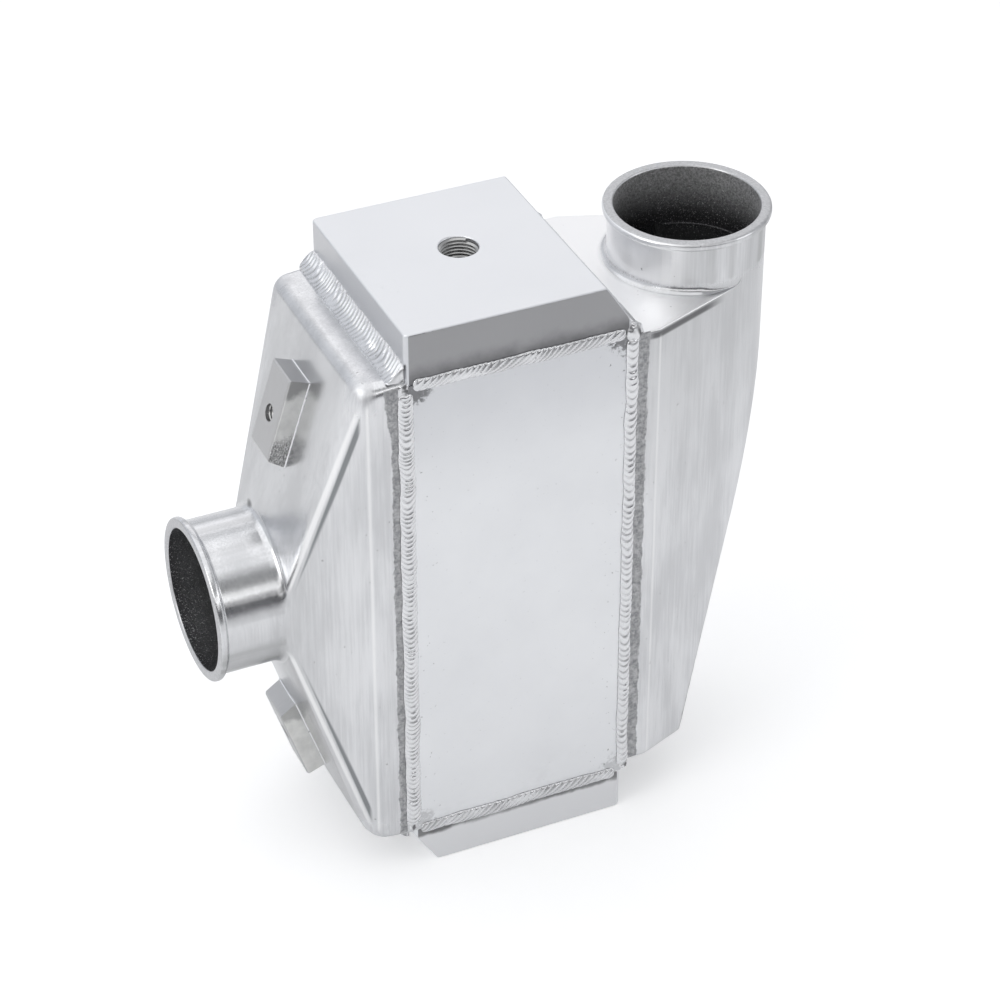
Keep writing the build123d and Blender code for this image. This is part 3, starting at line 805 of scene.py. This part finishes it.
def bead_columns(start, end, out, side, width, height, pitch, seed, bow=0.4, wander=0.7,
                 ripple=0.6, roundness=0.75, nose=0.25, lean=0.0, root=0.3, line=1.3):
    """A rippled bead's columns and how deep each point lies in a groove between ripples.

    The bead runs from start to end; out points away from the metal and side lies across the bead.
    """
    length = (end - start).length
    along = (end - start).normalized()
    rings_per_ripple, arcs = 9, 14
    rings = int(length / pitch * rings_per_ripple)
    columns = [[] for _ in range(arcs + 3)]
    grooves = [[] for _ in range(arcs + 3)]
    for ring in range(rings + 1):
        s = length * ring / rings
        drift = wave(s * 0.05, seed, 0) * wander
        swell = 1 + 0.14 * wave(s * 0.10, seed, 5) + 0.06 * wave(s * 0.6, seed, 9)
        jitter = 1.1 * pitch * wave(s * 0.22 / pitch, seed, 2)
        inset = min(s, length - s) / (width * 0.4)
        cap = sqrt(max(1 - (1 - inset) ** 2, 0)) if inset < 1 else 1.0
        blunt = nose + (1 - nose) * cap
        half = width / 2 * swell * blunt
        crown = height * (blunt if root > 1 else cap)
        for column in range(arcs + 1):
            angle = pi * column / arcs
            across = cos(angle)
            curve = bow * width * (1 - across * across) - lean * width * across
            phase = ((s - curve + jitter) / pitch) % 1.0
            scale = sin(pi * phase) ** 0.55
            arch = sin(angle) ** roundness
            depth = ripple * (0.75 + 0.8 * wave(s * 0.3 / pitch, across, seed + 7))
            clear = 0.75 + 1.3 * wave(s * 0.07, across * 0.5, seed + 11)
            clear = max(0.15, min(1.0, clear))
            lift = min(crown * arch * (1 - depth + depth * scale) * swell, height)
            columns[column].append(start + along * s + side * (across * half + drift) + out * lift)
            outline = 1.0 if column in (0, arcs) else 0.0
            grooves[column].append(max(outline, max(0.0, 1 - scale * line) * arch * clear))
        foot = 0.9 * half if root < 1 else 0.1
        for column, reach in ((arcs + 1, -foot), (arcs + 2, foot)):
            columns[column].append(start + along * s + side * (reach + drift) - out * root)
            grooves[column].append(0.0)
    return columns, grooves


def add_bead(name, node, **shape):
    """Puts a bead in the scene in place of its solid, with its grooves noted for the material."""
    columns, grooves = bead_columns(**shape)
    bm = woven([[at(*p) for p in column] for column in columns], False)
    bmesh.ops.holes_fill(bm, edges=[e for e in bm.edges if len(e.link_faces) == 1], sides=0)
    depths = {}
    for places, values in zip(columns, grooves):
        for place, value in zip(places, values):
            depths[tuple(round(c, 7) for c in at(*place))] = value
    groove = bm.verts.layers.float.new("groove")
    for vert in bm.verts:
        vert[groove] = depths.get(tuple(round(c, 7) for c in vert.co), 0.0)
    finish_mesh(name, bm, bead_metal, "weld_metal", node, smooth=75)


def make_upright_bead(name, sign_x, sign_y):
    """A bead between the core and an end tank, a little short of the core at both ends."""
    x, y = sign_x * HALF, sign_y * HALF
    add_bead(
        f"{name}_bead", f"{name}_weld",
        start=Vector((x, y, CORE_TOP - UPRIGHT_BEAD_INSET)),
        end=Vector((x, y, CORE_BOTTOM + UPRIGHT_BEAD_INSET)),
        out=Vector((0, sign_y, 0)), side=Vector((1, 0, 0)),
        width=7.9 if sign_x < 0 else 6.4, height=BEAD_RISE, pitch=2.7 if sign_x < 0 else 3.8,
        seed=sign_x * 3 + sign_y,
    )


def make_edge_bead(name, z, sign_y):
    """A bead along the front or the back edge of a water tank."""
    y = sign_y * HALF
    add_bead(
        f"{name}_bead", f"{name}_weld",
        start=Vector((-EDGE_BEAD_HALF, y, z)), end=Vector((EDGE_BEAD_HALF, y, z)),
        out=Vector((0, sign_y, 0)), side=Vector((0, 0, 1)),
        width=6.6, height=BEAD_RISE, pitch=3.4, seed=z + sign_y,
        bow=0.15, ripple=0.8, lean=-0.55, line=0.95,
    )


def make_corner_bead(name, x, z, turn_x, turn_z, width, sink, pitch):
    """A bead in the corner between a water tank and an end tank; the upper ones reach round the edges."""
    out = Vector((turn_x, 0, turn_z)).normalized()
    foot = Vector((x, 0, z)) + out * sink
    back, front = (54.8, 57.2) if turn_z > 0 else (51.0, 51.0)
    add_bead(
        f"{name}_bead", f"{name}_weld",
        start=foot + Vector((0, back, 0)), end=foot + Vector((0, -front, 0)),
        out=out, side=Vector((out.z, 0, -out.x)),
        width=width, height=CORNER_BEAD_RISE, pitch=pitch, seed=len(name) + turn_x,
        bow=0.32, ripple=0.55, roundness=0.7, line=1.0, nose=0.75, root=sink - 0.3,
    )


def make_beads():
    """The twelve beads in their places."""
    for sign_y, depth in ((-1, "front"), (1, "back")):
        for sign_x, across in ((-1, "left"), (1, "right")):
            make_upright_bead(f"{depth}_{across}", sign_x, sign_y)
        for z, level in ((CORE_TOP, "top"), (CORE_BOTTOM, "bottom")):
            make_edge_bead(f"{level}_{depth}", z, sign_y)
    make_corner_bead("top_left", -HALF, CORE_TOP + 3.25, -1, 1, width=12.6, sink=5.2, pitch=3.0)
    make_corner_bead("top_right", HALF, CORE_TOP - 2.0, 1, 1, width=8.6, sink=3.9, pitch=2.6)
    make_corner_bead("bottom_right", HALF, CORE_BOTTOM + 3.5, 1, -1, width=8.6, sink=3.9, pitch=2.6)
    make_corner_bead("bottom_left", -HALF, CORE_BOTTOM - 3.25, -1, -1, width=8.6, sink=3.9, pitch=2.4)


def make_crater(name, centre, size):
    """A lump of weld with dark hollows, whose front or back stays near the core's."""
    bm = bmesh.new()
    bmesh.ops.create_icosphere(bm, subdivisions=4, radius=1.0)
    groove = bm.verts.layers.float.new("groove")
    limit = HALF + CRATER_RISE
    for vert in bm.verts:
        bump = 1 + 0.24 * noise.noise(vert.co * 1.5 + centre) + 0.05 * noise.noise(vert.co * 4.0 + centre)
        bump = min(bump, 1.08)
        place = centre + Vector(c * s * bump for c, s in zip(vert.co, size))
        place.y = max(-limit, min(limit, place.y))
        vert[groove] = max(0.0, min(1.0, 2.4 * noise.noise(vert.co * 1.6 - centre)))
        vert.co = at(*place)
    finish_mesh(name, bm, bead_metal, "weld_metal", smooth=80)


def make_craters():
    """The lumps of weld where three beads end, at the core's eight corners; the top right ones are big."""
    for sign_x, across, out in ((-1, "left", 0.2), (1, "right", 0.8)):
        for sign_y, depth in ((-1, "front"), (1, "back")):
            for z, level in ((CORE_TOP - 1.2, "top"), (CORE_BOTTOM + 2.6, "bottom")):
                big = level == "top" and across == "right"
                centre = Vector((sign_x * (HALF + out), sign_y * (HALF - 1.3), z))
                size = (4.8, 2.5, 6.0) if big else (2.8, 1.9, 2.8)
                make_crater(f"{level}_{depth}_{across}_crater", centre, size)


def make_block_seam(node):
    """A fine bright seam along the foot of a mount block, where it meets the tank."""
    bm = bmesh.new()
    bm.from_mesh(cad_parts[node].data)
    bmesh.ops.remove_doubles(bm, verts=bm.verts, dist=1e-6)
    inward = [face for face in bm.faces if face.normal.x > 0.55]
    foot = {edge for face in inward for edge in face.edges
            if any(other.normal.x <= 0.55 for other in edge.link_faces)}
    curve = bpy.data.curves.new(f"{node}_seam", "CURVE")
    curve.dimensions = "3D"
    curve.bevel_depth = SEAM_RADIUS / 1000
    curve.bevel_resolution = 2
    curve.use_fill_caps = True
    for edge in foot:
        spline = curve.splines.new("POLY")
        spline.points.add(1)
        for point, vert in zip(spline.points, edge.verts):
            point.co = (*vert.co, 1)
    bm.free()
    curve.materials.append(bead_metal)
    seam = bpy.data.objects.new(curve.name, curve)
    bpy.context.collection.objects.link(seam)
    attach(seam, "root")


# Stage

def make_floor():
    """A white floor, which the camera sees a little brighter than it is lit."""
    bm = bmesh.new()
    bmesh.ops.create_grid(bm, x_segments=1, y_segments=1, size=6.0)
    mesh = bpy.data.meshes.new("floor")
    bm.to_mesh(mesh)
    bm.free()
    floor = bpy.data.objects.new("floor", mesh)
    bpy.context.collection.objects.link(floor)
    material = bpy.data.materials.new("white floor")
    material.use_nodes = True
    tree = material.node_tree
    shader = tree.nodes["Principled BSDF"]
    shader.inputs["Base Color"].default_value = (0.93, 0.93, 0.93, 1)
    shader.inputs["Roughness"].default_value = 0.9
    shader.inputs["Specular IOR Level"].default_value = 0.0
    mesh.materials.append(material)
    seen = Value(tree, tree.nodes.new("ShaderNodeLightPath").outputs["Is Camera Ray"])
    feed(shader, Emission_Color=seen.mix((0, 0, 0, 1), (0.23, 0.23, 0.23, 1)))
    shader.inputs["Emission Strength"].default_value = 1.0


def make_sky():
    """The room that the metal mirrors, with bright panels and dark gaps; the camera sees plain white."""
    world = bpy.data.worlds.new("studio")
    bpy.context.scene.world = world
    world.use_nodes = True
    tree = world.node_tree
    background = tree.nodes["Background"]
    seen = Value(tree, tree.nodes.new("ShaderNodeLightPath").outputs["Is Camera Ray"])
    way = Value(tree, tree.nodes.new("ShaderNodeTexCoord").outputs["Generated"])
    split = way.node("ShaderNodeSeparateXYZ", Vector=way)
    right, back, height = split.output(0), split.output(1), split.output(2)
    sky = height.node("ShaderNodeValToRGB", {"stops": [
        (0.0, (0.62, 0.63, 0.65, 1)),
        (0.30, (0.70, 0.71, 0.73, 1)),
        (0.62, (0.55, 0.56, 0.58, 1)),
        (0.80, (0.50, 0.51, 0.53, 1)),
        (0.90, (0.48, 0.485, 0.50, 1)),
    ]}, Fac=height)
    behind_camera = height.node("ShaderNodeValToRGB", {"stops": [
        (0.0, (0.09, 0.09, 0.10, 1)),
        (0.33, (0.06, 0.06, 0.065, 1)),
        (0.40, (1.8, 1.8, 1.8, 1)),
        (0.50, (1.8, 1.8, 1.8, 1)),
        (0.57, (0.30, 0.305, 0.31, 1)),
        (0.80, (0.42, 0.425, 0.43, 1)),
        (0.90, (0.48, 0.485, 0.50, 1)),
    ]}, Fac=height)
    back_left = (right * -0.55 + back * 0.83).step(0.55, 0.85) * (1 - height.step(0.6, 0.8))
    back_right = (right * 0.40 + back * 0.92).step(0.6, 0.8) * height.within(0.3, 0.8, 0.1)
    colour = layered(
        sky,
        ((right * -0.41 + back * -0.91).step(-0.1, 0.7), behind_camera),
        (back_left, (0.72, 0.74, 0.78, 1)),
        (back_right, (1.15, 1.15, 1.17, 1)),
        (seen, (1, 1, 1, 1)),
    )
    tree.links.new(colour.socket, background.inputs["Color"])
    background.inputs["Strength"].default_value = 1.0


def make_lamps():
    """Three softboxes: a large one above, and smaller ones at the left and the right. In metres."""
    for name, place, target, size, power in (
        ("softbox above", (-0.6, 0.1, 2.2), (0, 0, 0.1), 3.2, 23),
        ("softbox left", (-2.0, -0.5, 1.1), (0, 0, 0.15), 1.0, 8),
        ("softbox right", (1.7, -1.2, 0.9), (0, 0, 0.15), 0.8, 3),
    ):
        light = bpy.data.lights.new(name, "AREA")
        light.size = size
        light.energy = power
        lamp = bpy.data.objects.new(name, light)
        bpy.context.collection.objects.link(lamp)
        lamp.location = place
        lamp.rotation_euler = (Vector(target) - Vector(place)).to_track_quat("-Z", "Y").to_euler()


def make_camera():
    """The camera of the photograph, and plain colours."""
    data = bpy.data.cameras.new("camera")
    camera = bpy.data.objects.new("camera", data)
    bpy.context.collection.objects.link(camera)
    data.sensor_width = 36.0
    data.lens = 114.37
    data.clip_end = 20
    camera.location = at(-506.98, -1165.79, 1075.17)
    yaw, pitch = radians(24.13), radians(35.40)
    ahead = Vector((sin(yaw) * cos(pitch), cos(yaw) * cos(pitch), -sin(pitch)))
    camera.rotation_euler = ahead.to_track_quat("-Z", "Y").to_euler()
    bpy.context.scene.camera = camera
    bpy.context.scene.view_settings.view_transform = "Standard"


casting = polished_casting()
sheet = bright_sheet()
block_finish = milled_block()
bead_metal = weld_metal()
thread_finish = cut_thread()
core_finish = brazed_core()

make_left_tank()
make_right_tank()
eased_copy("top_water_tank", "top_tank", sheet, "sheet_metal", SHEET_EASE)
eased_copy("bottom_water_tank", "bottom_tank", sheet, "sheet_metal", SHEET_EASE)
eased_copy("upper_mount_block", "upper_block", block_finish, "block_metal", BLOCK_EASE)
eased_copy("lower_mount_block", "lower_block", block_finish, "block_metal", BLOCK_EASE)
make_threads()
for number in range(1, 9):
    make_air_fin(f"air_fin_{number}")
make_beads()
make_craters()
make_block_seam("upper_mount_block")
make_block_seam("lower_mount_block")
dress_solids()

make_floor()
make_sky()
make_lamps()
make_camera()
